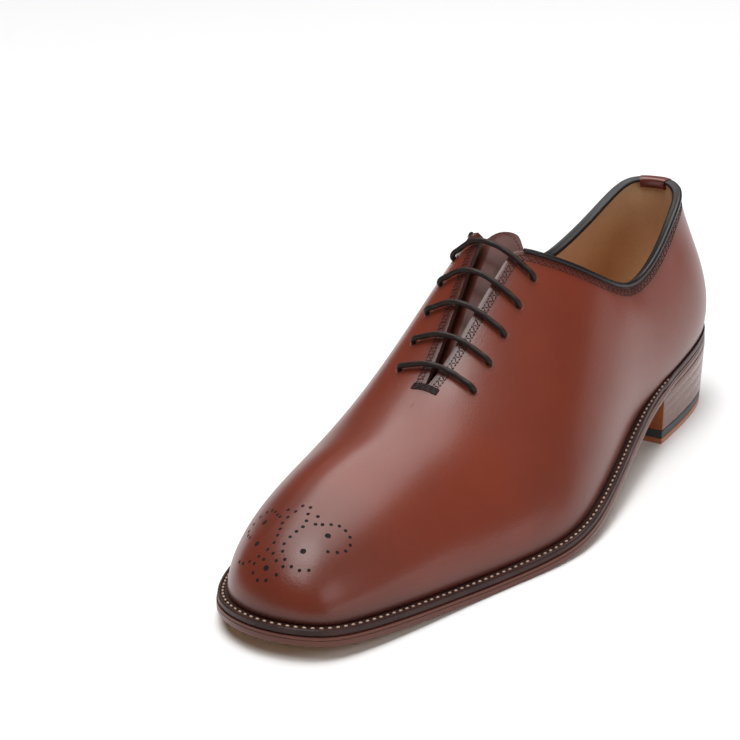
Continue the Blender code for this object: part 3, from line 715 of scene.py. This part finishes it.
def tongue_row(station, shares, lift=0.0):
    """Places across the tongue at one station; above the throat it springs free as an arch."""
    depth, width = (float(np.interp(station, TONGUE[:, 0], TONGUE[:, side])) for side in (1, 2))
    depth, reach = depth - lift, TONGUE_HALF_WIDTH * width
    freed = np.clip((station - 7.4) / 1.2, 0, 1)
    sag = 0.3 * freed
    edge_depth = min(depth, 5.6 - lift)
    medial, middle, lateral = (across_crest(station - back, away, down) for back, away, down in
                               ((sag, -reach, edge_depth), (0.0, 0.0, depth), (sag, reach, edge_depth)))
    row = []
    for share in shares:
        down = depth + (edge_depth - depth) * share ** 2
        under = across_crest(station - sag * share ** 2, share * reach, down)
        arched = (medial + lateral) / 2 + (lateral - medial) * share / 2
        arched = arched + (middle - (medial + lateral) / 2) * (1 - share ** 2)
        row.append(under + (arched - under) * freed)
    return row


knot_shares = np.linspace(-1, 1, 13)
tongue_knots = np.array([tongue_row(station, knot_shares) for station in TONGUE[:, 0]])
tongue_along = fitted(TONGUE[:, 0], tongue_knots)


def tongue_places_at(station, shares):
    """Places on the smooth top of the tongue; its corners are drawn back to round its end."""
    lines = []
    for share in shares:
        drawn_back = 0.30 * abs(share) ** 5 * np.clip((station - 8.1) / 0.6, 0, 1)
        across = tongue_along(station - drawn_back).reshape(-1, 3)
        lines.append(fitted(knot_shares, across)(share))
    return lines


tongue_stations = np.concatenate([np.arange(5.0, 8.2, 0.1), np.arange(8.2, 8.741, 0.045)])
tongue_places = np.array([tongue_places_at(s, np.linspace(-1, 1, 33)) for s in tongue_stations])
tongue = skin("tongue_calf", tongue_places)
sheet = tongue.modifiers.new("Sheet", "SOLIDIFY")
sheet.thickness, sheet.offset = TONGUE_THICKNESS * MM, -1
sheet.material_offset, sheet.material_offset_rim = 1, 0
soft_edge = tongue.modifiers.new("Soft_edge", "BEVEL")
soft_edge.width, soft_edge.segments = 0.45 * MM, 3
soft_edge.limit_method, soft_edge.angle_limit = "ANGLE", 1.0
# Darkened colour: painted shade of the gap between the facings
tongue_leather_painted_shade = leather("tongue_leather_painted_shade", (0.085, 0.022, 0.015, 1), CALF_DARK, 0.48,
                         pores=(1300.0, 0.00005), coat=0.02, coat_roughness=0.2, specular=0.2)
dress(tongue, ["tongue"], "dark_calf", tongue_leather_painted_shade, lining_leather)

border = [(station, -0.86) for station in np.arange(6.6, 8.4, 0.08)]
border += [(8.58 - 0.16 * share ** 4, share) for share in np.linspace(-0.8, 0.8, 17)]
border += [(station, 0.86) for station in np.arange(8.36, 6.55, -0.08)]
border_line = [tongue_places_at(station, [share])[0] + (0, 0, ROW_LIFT) for station, share in border]
border_line = evenly(border_line, TONGUE_STITCH_PITCH)
border_turns = []
lay_row(border_turns, border_line, [np.array([0.2, 0, 0.98])] * (len(border_line) - 1), 0.12, THREAD)
dress(joined_copies("tongue_stitches", thread_bead(), border_turns), [], "dark_calf", dark_thread)

# Lace and eyelets
# One round waxed cord runs through ten blind eyelets, punched straight through the calf. It shows
# as five bars, and between them it runs under the facings.
LACE_RADIUS, BARS = 1.1, 5
EYELET_FIRST_X, EYELET_PITCH, EYELET_REACH, EYELET_TAPER = 132.0, 11.8, 17.0, 0.35
eyelets = []
for bar in range(BARS):
    x = EYELET_FIRST_X + bar * EYELET_PITCH
    middle = np.interp(x, SLIT[:, 0], SLIT[:, 1])
    reach = EYELET_REACH - bar * EYELET_TAPER
    eyelets.append((place_on_last(x, middle - reach), place_on_last(x, middle + reach)))


def bar_line(bar, ends):
    """One bar over the instep: it bears on both edges of the slit and bridges the gap."""
    x = EYELET_FIRST_X + bar * EYELET_PITCH
    middle = np.interp(x, SLIT[:, 0], SLIT[:, 1])
    half_gap = np.interp(x, SLIT[:, 0], SLIT[:, 2]) / 2 + 1
    start, end = (last_point(*place)[1] for place in ends)
    half_gap *= np.sign(end - start)
    near, far = middle - half_gap, middle + half_gap
    bearing = [0.9 * start + 0.1 * near, (start + near) / 2, near, far, (far + end) / 2,
               0.1 * far + 0.9 * end]
    knots = np.array([sunk_point(*place_on_last(x, y), -(LACE_RADIUS + 0.75)) for y in bearing])
    walked = walked_along(knots)
    return list(fitted(walked, knots)(np.linspace(0, walked[-1], 13)))


under = WALL + LACE_RADIUS + 0.7
route = []
for bar, (medial, lateral) in enumerate(eyelets):
    ends = [medial, lateral] if bar % 2 == 0 else [lateral, medial]
    route += [sunk_point(*ends[0], depth) for depth in (under, WALL / 2, -LACE_RADIUS * 0.9)]
    route += bar_line(bar, ends)
    route += [sunk_point(*ends[1], depth) for depth in (-LACE_RADIUS * 0.9, WALL / 2, under)]
route = np.array(route)


def cord(name, line, radius, sides=16, pitch=0.5, twist=0.9, flute=0.045):
    """A round cord along a line, its surface lightly fluted by the twist of its strands."""
    walked = walked_along(line)
    marks = np.linspace(0, walked[-1], round(walked[-1] / pitch) + 1)
    centres = fitted(walked, line)(marks)
    along = np.gradient(centres, axis=0)
    along /= np.linalg.norm(along, axis=1, keepdims=True)
    across = np.cross(along[0], (0, 0, 1.0))
    rings = []
    turns = np.linspace(0, 2 * np.pi, sides + 1)
    for mark, centre, way in zip(marks, centres, along):
        across = across - way * (across @ way)
        across /= np.linalg.norm(across)
        other = np.cross(way, across)
        size = radius * (1 - flute + flute * np.cos(4 * turns + mark * twist))
        rings.append(centre + (np.cos(turns) * size)[:, None] * across
                     + (np.sin(turns) * size)[:, None] * other)
    return ringed(name, rings, ends=True)


lace = cord("lace_cord", route, LACE_RADIUS)
waxed_cord = thread_finish("waxed_cord", (0.026, 0.015, 0.011, 1), (0.010, 0.006, 0.005, 1), 0.5)
dress(lace, ["lace"], "waxed_cord", waxed_cord)

EYELET_RADIUS = 1.75
RIM_PROFILE = [(EYELET_RADIUS, -0.25)] + [
    (EYELET_RADIUS + 0.22 - 0.22 * np.cos(angle), 0.16 * np.sin(angle) - 0.04)
    for angle in np.linspace(0, np.pi, 7)[1:]]


def turn_on_leather(work, t, v, lift, profile, steps):
    """Spins a profile of (radius, height) into a small round form that stands on the leather."""
    normal, _ = last_frame(t, v)
    centre = Vector((last_point(t, v) + normal * lift + LAST_TO_FRAME) * MM)
    stand = Vector(normal).to_track_quat("Z", "Y").to_matrix().to_4x4()
    stand.translation = centre
    line = [work.verts.new(stand @ Vector((radius * MM, 0, height * MM))) for radius, height in profile]
    edges = [work.edges.new(ends) for ends in zip(line[:-1], line[1:])]
    bmesh.ops.spin(work, geom=line + edges, cent=centre, axis=stand.to_3x3() @ Vector((0, 0, 1)),
                   angle=2 * np.pi, steps=steps, use_merge=True)


rims = bmesh.new()
for pair in eyelets:
    for t, v in pair:
        turn_on_leather(rims, t, v, 0.02, RIM_PROFILE, 20)
bmesh.ops.remove_doubles(rims, verts=rims.verts, dist=0.005 * MM)
bmesh.ops.recalc_face_normals(rims, faces=rims.faces)
eyelet_calf = leather("eyelet_calf", (0.16, 0.038, 0.022, 1), CALF_DARK, 0.45, pores=(1500.0, 0.00003))
dress(finished("eyelet_rims", rims, sharp=3.0), [], "burnished_calf", eyelet_calf)

# Toe medallion
# A traditional pattern of small and larger holes punched part way through the calf, a pair of curls
# on either side of a stem. It is charted as x and distance from its middle line.
MEDALLION_MIDDLE = -4.8
SMALL_HOLES = [
    (259.3, 1.6), (262.3, 2.6), (265.2, 3.9), (268.0, 4.3), (270.6, 3.4), (273.3, 2.6), (276.2, 2.1),
    (278.7, 3.1), (280.8, 5.4), (281.8, 8.7), (281.5, 11.8), (279.9, 14.5), (261.6, 6.2), (264.9, 7.4),
    (263.6, 9.4), (261.7, 11.6), (260.2, 14.0), (260.1, 16.4), (260.9, 18.7), (263.1, 20.2),
    (266.0, 20.2), (268.7, 18.6), (270.9, 16.3), (281.9, 2.6), (282.8, 6.0), (285.3, 4.9), (287.1, 1.8),
]
LARGE_HOLES = [(275.9, 9.6), (266.1, 13.2)]
SMALL_RADIUS, LARGE_RADIUS = 0.42, 0.85
MIDDLE_HOLES = [(279.9, 0.0, SMALL_RADIUS), (284.3, 0.0, LARGE_RADIUS)]
holes = [(x, side * away, SMALL_RADIUS) for x, away in SMALL_HOLES for side in (-1, 1)]
holes += [(x, side * away, LARGE_RADIUS) for x, away in LARGE_HOLES for side in (-1, 1)] + MIDDLE_HOLES
# Each hole is a thin disc laid on the leather and coloured near black: painted shade for the depth of
# the hole
marks = bmesh.new()
for x, away, radius in holes:
    dimple = [(0.02, 0.05), (0.6 * radius, 0.045), (radius, 0.07), (radius + 0.12, 0.10),
              (radius + 0.28, -0.06)]
    turn_on_leather(marks, *place_on_last(x, MEDALLION_MIDDLE + away), 0, dimple, 14)
bmesh.ops.recalc_face_normals(marks, faces=marks.faces)
medallion = finished("toe_medallion", marks, sharp=3.0)
# Near black: painted shade inside the holes
hole_shade_finish = thread_finish("painted_hole_shade", (0.010, 0.003, 0.003, 1), (0.004, 0.002, 0.002, 1), 0.8)
dress(medallion, [], "burnished_calf", hole_shade_finish)

# Welt
# A strip of dark leather sewn round the edge of the upper, with pale lock stitches lying in a
# shallow channel along its top. At the heel it narrows to a thin rand with no stitches.
RAND_WIDTH, WELT_WIDTH, WELT_THICKNESS, WELT_INSIDE = 0.8, 4.2, 2.3, 3.0
OUTSOLE_STEP, FIT_GAP, BREAST_X = 0.5, 0.3, 70.0
WELT_STITCH_PITCH, WELT_THREAD, WELT_SEWN_TO = 2.9, 1.0, 10.3
SOLE_STATIONS = all_stations(0.1, 0.1)


def edge_width(x):
    return np.interp(x, [60, 100, 150], [RAND_WIDTH, WELT_WIDTH - 0.3, WELT_WIDTH])


def outline_point(t, offset):
    """The feather line at t, moved out in plan by offset."""
    small = 1e-3
    foot = last_point(t, 0.0)
    run = last_point(t + small, 0.0) - last_point(t - small, 0.0)
    out = np.array([run[1], -run[0], 0.0])
    out /= np.linalg.norm(out)
    return foot + out * (offset if out @ (foot - [140, 0, 0]) > 0 else -offset)


def welt_top(x):
    return float(feather_height(x)) - FIT_GAP


def welt_reach(t):
    """How far the welt stands out from the feather line at t."""
    foot_x = last_point(t, 0.0)[0]
    return float(edge_width(foot_x)) - OUTSOLE_STEP * (foot_x > BREAST_X)


def on_welt(t, offset, up):
    p = outline_point(t, offset)
    return p[0], p[1], welt_top(p[0]) + up


rings = []
for t in SOLE_STATIONS:
    outer = welt_reach(t)
    room = np.clip((outer - 1.5) / 2, 0, 1)
    profile = [(-WELT_INSIDE, 0), (-0.4, 0), (0.3 * outer, 0.10), (0.36 * outer, -0.28 * room),
               (0.66 * outer, -0.28 * room), (0.74 * outer, 0.18 * room), (0.88 * outer, 0.14 * room),
               (outer - 0.05, -0.25), (outer, -0.8), (outer, -WELT_THICKNESS + 0.3),
               (outer - 0.2, -WELT_THICKNESS), (-WELT_INSIDE, -WELT_THICKNESS), (-WELT_INSIDE, 0)]
    rings.append([on_welt(t, offset, up) for offset, up in profile])
welt = ringed("welt_strip", rings, shell=True)
welt_leather = leather("welt_leather", (0.045, 0.017, 0.014, 1), (0.016, 0.007, 0.007, 1), 0.42,
                       cloud=(80.0, 0.7), pores=(1200.0, 0.0001), coat=0.03, coat_roughness=0.3,
                       specular=0.22)
dress(welt, ["welt"], "welt_leather", welt_leather)

sewn = np.concatenate([np.arange(LOOP - WELT_SEWN_TO, LOOP, 0.05), np.arange(0, WELT_SEWN_TO, 0.05)])
channel = evenly([on_welt(t, 0.5 * welt_reach(t), -0.02) for t in sewn], WELT_STITCH_PITCH)
welt_turns = []
lay_row(welt_turns, channel, [np.array([0, 0, 1.0])] * (len(channel) - 1), 0.24, WELT_THREAD, flat=0.9)
pale_thread = thread_finish("pale_thread", (0.62, 0.45, 0.34, 1), (0.30, 0.18, 0.13, 1), 0.6)
dress(joined_copies("welt_stitches", thread_bead(), welt_turns), [], "welt_leather", pale_thread)

# Outsole
# A leather sole under the welt, its edge trimmed, inked and waxed, with a fine bead scored along it.
# The tread is bare oak tan leather.
OUTSOLE_THICKNESS = 3.4
SOLE_EDGE_BROWN, SOLE_TREAD_TAN = (0.120, 0.034, 0.021, 1), (0.50, 0.28, 0.14, 1)


def outsole_top(x):
    return welt_top(x) - WELT_THICKNESS - FIT_GAP


def outsole_bottom(x):
    return max(outsole_top(x) - OUTSOLE_THICKNESS, 0.0)


def plate(name, stations, side_line, top, bottom, across=24):
    """A plate that follows the sole: side_line is (offset, share of the height) from top to bottom."""
    rings = []
    for t in stations:
        sides = []
        for side in (t, LOOP - t):
            line = []
            for offset, share in side_line:
                p = outline_point(side, offset(last_point(side, 0.0)[0]))
                line.append((p[0], p[1], bottom(p[0]) + (top(p[0]) - bottom(p[0])) * share))
            sides.append(line)
        rings.append(cross_section(sides[0], sides[1], across))
    return ringed(name, rings, ends=True)


def cross_section(lateral, medial, across):
    """A closed ring down the lateral side, over the underside, up the medial side and back."""
    lateral, medial = np.array(lateral), np.array(medial)
    shares = np.linspace(0, 1, across + 1)[1:-1, None]
    under = lateral[-1] + (medial[-1] - lateral[-1]) * shares
    over = medial[0] + (lateral[0] - medial[0]) * shares
    return np.vstack([lateral, under, medial[::-1], over, lateral[:1]])


def drawn_in(inset):
    return lambda x: float(edge_width(x)) - inset


# Insets and heights down the sole's edge: a broken corner, the scored bead, and the lower corner
EDGE_LINE = [(drawn_in(inset), share) for inset, share in (
    (0.3, 1.0), (0.06, 0.96), (0.0, 0.87), (0.0, 0.74), (0.22, 0.70), (0.22, 0.67), (0.0, 0.63),
    (0.0, 0.2), (0.08, 0.08), (0.35, 0.0))]
half_stations = SOLE_STATIONS[:len(SOLE_STATIONS) // 2 + 1]
outsole = plate("outsole_leather", half_stations, EDGE_LINE, outsole_top, outsole_bottom)


def shade(colour, share):
    return (*(value * share for value in colour[:3]), 1)


def sole_finish(name, edge, bare, axis, sign, roughness):
    """Inked and waxed on the edge, bare leather on the face that looks along one axis."""
    made, tree, shader = new_finish(name, coat=0.06, coat_roughness=0.25, specular=0.32)
    place = add_node(tree, "TexCoord").outputs["Object"]
    facing = add_node(tree, "SeparateXYZ", {"Vector": add_node(tree, "NewGeometry").outputs["Normal"]})
    turned = add_node(tree, "Math", {0: facing.outputs[axis], 1: sign}, operation="MULTIPLY")
    shown = add_node(tree, "MapRange", {"Value": turned.outputs[0], "From Min": 0.75, "From Max": 0.9})
    layers = add_node(tree, "Mapping", {"Vector": place, "Scale": (6.0, 6.0, 300.0)})
    fibre = add_node(tree, "TexNoise", {"Vector": layers.outputs["Vector"], "Scale": 1.0, "Detail": 4.0})
    streaks = add_node(tree, "MapRange", {"Value": fibre.outputs["Fac"], "From Min": 0.5,
                                          "From Max": 1.3, "To Max": 0.06})
    dye = add_node(tree, "Group", {"Light": edge, "Dark": shade(edge, 0.45), "Cloud Scale": 30.0,
                                   "Cloud Amount": 0.18, "Mask": streaks.outputs[0]},
                   node_tree=HAND_DYE)
    speck = add_node(tree, "TexNoise", {"Vector": place, "Scale": 400.0, "Detail": 4.0})
    raw = blend(tree, speck.outputs["Fac"], bare, shade(bare, 0.6))
    colour = blend(tree, shown.outputs[0], dye.outputs["Color"], raw)
    rough = add_node(tree, "MapRange", {"Value": shown.outputs[0], "To Min": roughness, "To Max": 0.6})
    grain = add_node(tree, "Group", {"Pore Scale": 1200.0, "Pore Depth": 0.00003,
                                     "Wave Scale": 40.0, "Wave Depth": 0.00005},
                     node_tree=LEATHER_GRAIN)
    feed(tree, shader, {"Base Color": colour, "Roughness": rough.outputs[0],
                        "Normal": grain.outputs["Normal"]})
    return made


sole_leather = sole_finish("sole_leather", SOLE_EDGE_BROWN, SOLE_TREAD_TAN, "Z", -1, 0.34)
dress(outsole, ["outsole"], "sole_leather", sole_leather)

# Insole and sock
# The insole board that the upper is lasted over, covered with a full sock of smooth tan leather that
# is pasted down inside the shoe, slightly cupped at its edge.
INSOLE_INSET, INSOLE_RISE = 3.3, 0.8


def inside_feather(inset):
    return lambda x: -INSOLE_INSET - inset


SOCK_LINE = [(inside_feather(inset), share)
             for inset, share in ((0.6, 1.0), (0.1, 0.9), (0, 0.75), (0, 0))]
sock = plate("insole_sock", half_stations, SOCK_LINE, lambda x: float(feather_height(x)) + INSOLE_RISE,
             lambda x: outsole_top(x) + FIT_GAP)
sock_leather = leather("sock_leather", (0.50, 0.25, 0.13, 1), (0.36, 0.16, 0.08, 1), 0.5,
                       cloud=(30.0, 0.5), pores=(1500.0, 0.00005))
dress(sock, ["insole"], "insole_leather", sock_leather)

# Heel
# Lifts of leather glued and nailed under the seat, then a layer of dark rubber and a tan leather top
# piece. The sides are trimmed, inked and polished together; the breast is left bare.
RUBBER_TOP, TOPLIFT_TOP, HEEL_TAPER = 5.6, 2.2, 1.8
STACK_BROWN, BREAST_TAN = (0.165, 0.068, 0.050, 1), (0.42, 0.115, 0.035, 1)
HEEL_CENTRE = np.array([BREAST_X / 2, 2.0])
heel_seat = outsole_bottom(BREAST_X / 2)
heel_stations = [t for t in half_stations if last_point(t, 0.0)[0] < BREAST_X]


def heel_side(t, levels, at_breast=False):
    """Places down one side of the heel at t for (inset, height) levels, drawn in towards the floor."""
    p = outline_point(t, RAND_WIDTH)
    line = []
    for inset, height in levels(p[0]):
        away = p[:2] - HEEL_CENTRE
        reach = np.linalg.norm(away)
        x, y = HEEL_CENTRE + away * (reach - HEEL_TAPER * (1 - height / heel_seat) - inset) / reach
        line.append((BREAST_X if at_breast else min(x, BREAST_X), y, height))
    return line


def heel_layer(name, levels):
    first = heel_stations[0]
    rings = [cross_section(heel_side(first, levels, True), heel_side(LOOP - first, levels, True), 12)]
    for t in heel_stations:
        rings.append(cross_section(heel_side(t, levels), heel_side(LOOP - t, levels), 12))
    return ringed(name, rings, ends=True)


def block(bottom, top):
    """Levels of a plain layer with its edges just broken."""
    return lambda x: [(0.25, top), (0.05, top - 0.15), (0, top - 0.4),
                      (0, bottom + 0.4), (0.05, bottom + 0.15), (0.25, bottom)]


def stack_levels(x):
    """Levels of the stack, with a fine score between its lifts."""
    top, bottom = outsole_bottom(x) - FIT_GAP, RUBBER_TOP + FIT_GAP
    line = [(0.2, top), (0, top - 0.3)]
    for lift in (0.75, 0.5, 0.25):
        joint = bottom + (top - bottom) * lift
        line += [(0, joint + 0.16), (0.07, joint), (0, joint - 0.16)]
    return line + [(0, bottom + 0.3), (0.2, bottom)]


stack_finish = sole_finish("heel_stack_leather", STACK_BROWN, BREAST_TAN, "X", 1, 0.26)
rubber_finish = leather("heel_rubber", (0.040, 0.050, 0.052, 1), (0.022, 0.027, 0.028, 1), 0.5,
                        pores=(900.0, 0.00004))
top_piece = leather("top_piece_leather", (0.50, 0.17, 0.075, 1), (0.28, 0.085, 0.035, 1), 0.42,
                    cloud=(90.0, 0.5), pores=(900.0, 0.00006), coat=0.15)
lifts = heel_layer("heel_lifts", stack_levels)
dress(lifts, ["heel_stack"], "heel_leather", stack_finish)
rubber = heel_layer("heel_rubber_layer", block(TOPLIFT_TOP + FIT_GAP, RUBBER_TOP))
dress(rubber, ["heel_rubber"], "heel_rubber", rubber_finish)
walked_on = heel_layer("heel_top_piece", block(0.0, TOPLIFT_TOP))
dress(walked_on, ["heel_toplift"], "tan_leather", top_piece)

# Studio
# A pale floor, a broad sun, a soft sky and four softboxes: a high and a low one beside the outer
# side, one behind the heel and one above the toe. The camera looks down on the outer side from in
# front.
floor_grid = bmesh.new()
bmesh.ops.create_grid(floor_grid, x_segments=1, y_segments=1, size=4)
floor = finished("studio_floor", floor_grid)
paper, paper_tree, paper_shader = new_finish("studio_paper", specular=0.1)
feed(paper_tree, paper_shader, {"Base Color": (0.92, 0.92, 0.92, 1), "Roughness": 0.8})
floor.data.materials.append(paper)

world = bpy.data.worlds.new("studio_sky")
world.use_nodes = True
sky = world.node_tree
height = add_node(sky, "SeparateXYZ", {"Vector": add_node(sky, "TexCoord").outputs["Generated"]})
glow = add_node(sky, "MapRange", {"Value": height.outputs["Z"], "From Min": 0.0, "From Max": 1.0,
                                  "To Min": 0.3, "To Max": 0.8})
sky.links.new(glow.outputs["Result"], sky.nodes["Background"].inputs["Strength"])
bpy.context.scene.world = world
soft_sun = bpy.data.lights.new("soft_sun", "SUN")
soft_sun.energy, soft_sun.angle = 2.5, 1.1
sun = bpy.data.objects.new("soft_sun", soft_sun)
sun.rotation_euler = Vector((0.35, 0.25, -1.0)).to_track_quat("-Z", "Y").to_euler()
bpy.context.scene.collection.objects.link(sun)


def softbox(name, place, target, size, power):
    light = bpy.data.lights.new(name, "AREA")
    light.shape, light.size, light.size_y, light.energy = "RECTANGLE", size[0], size[1], power
    lamp = bpy.data.objects.new(name, light)
    lamp.location = place
    lamp.rotation_euler = (Vector(target) - Vector(place)).to_track_quat("-Z", "Y").to_euler()
    bpy.context.scene.collection.objects.link(lamp)


softbox("softbox_side", (0.35, 1.2, 0.9), (0.08, 0, 0.05), (0.9, 0.6), 4)
softbox("softbox_low", (0.1, 1.3, 0.16), (0.05, 0, 0.04), (1.3, 0.16), 1.8)
softbox("softbox_heel", (-1.0, 0.75, 0.2), (-0.05, 0, 0.05), (0.4, 0.35), 0.4)
softbox("softbox_top", (0.38, 0.0, 1.35), (0.1, 0, 0.05), (0.5, 1.1), 9)

lens = bpy.data.cameras.new("camera")
lens.lens, lens.sensor_width, lens.clip_start, lens.clip_end = 115.61, 36.0, 0.05, 20.0
camera = bpy.data.objects.new("camera", lens)
camera_axes = Matrix([(-0.54513, 0.83791, -0.02794), (-0.32349, -0.17948, 0.92907),
                      (0.77345, 0.51548, 0.36888)]).transposed().to_4x4()
camera.matrix_world = Matrix.Translation((0.71626, 0.42211, 0.38342)) @ camera_axes
bpy.context.scene.collection.objects.link(camera)
bpy.context.scene.camera = camera
bpy.context.scene.view_settings.view_transform = "Standard"
bpy.context.scene.view_settings.exposure = 0.12
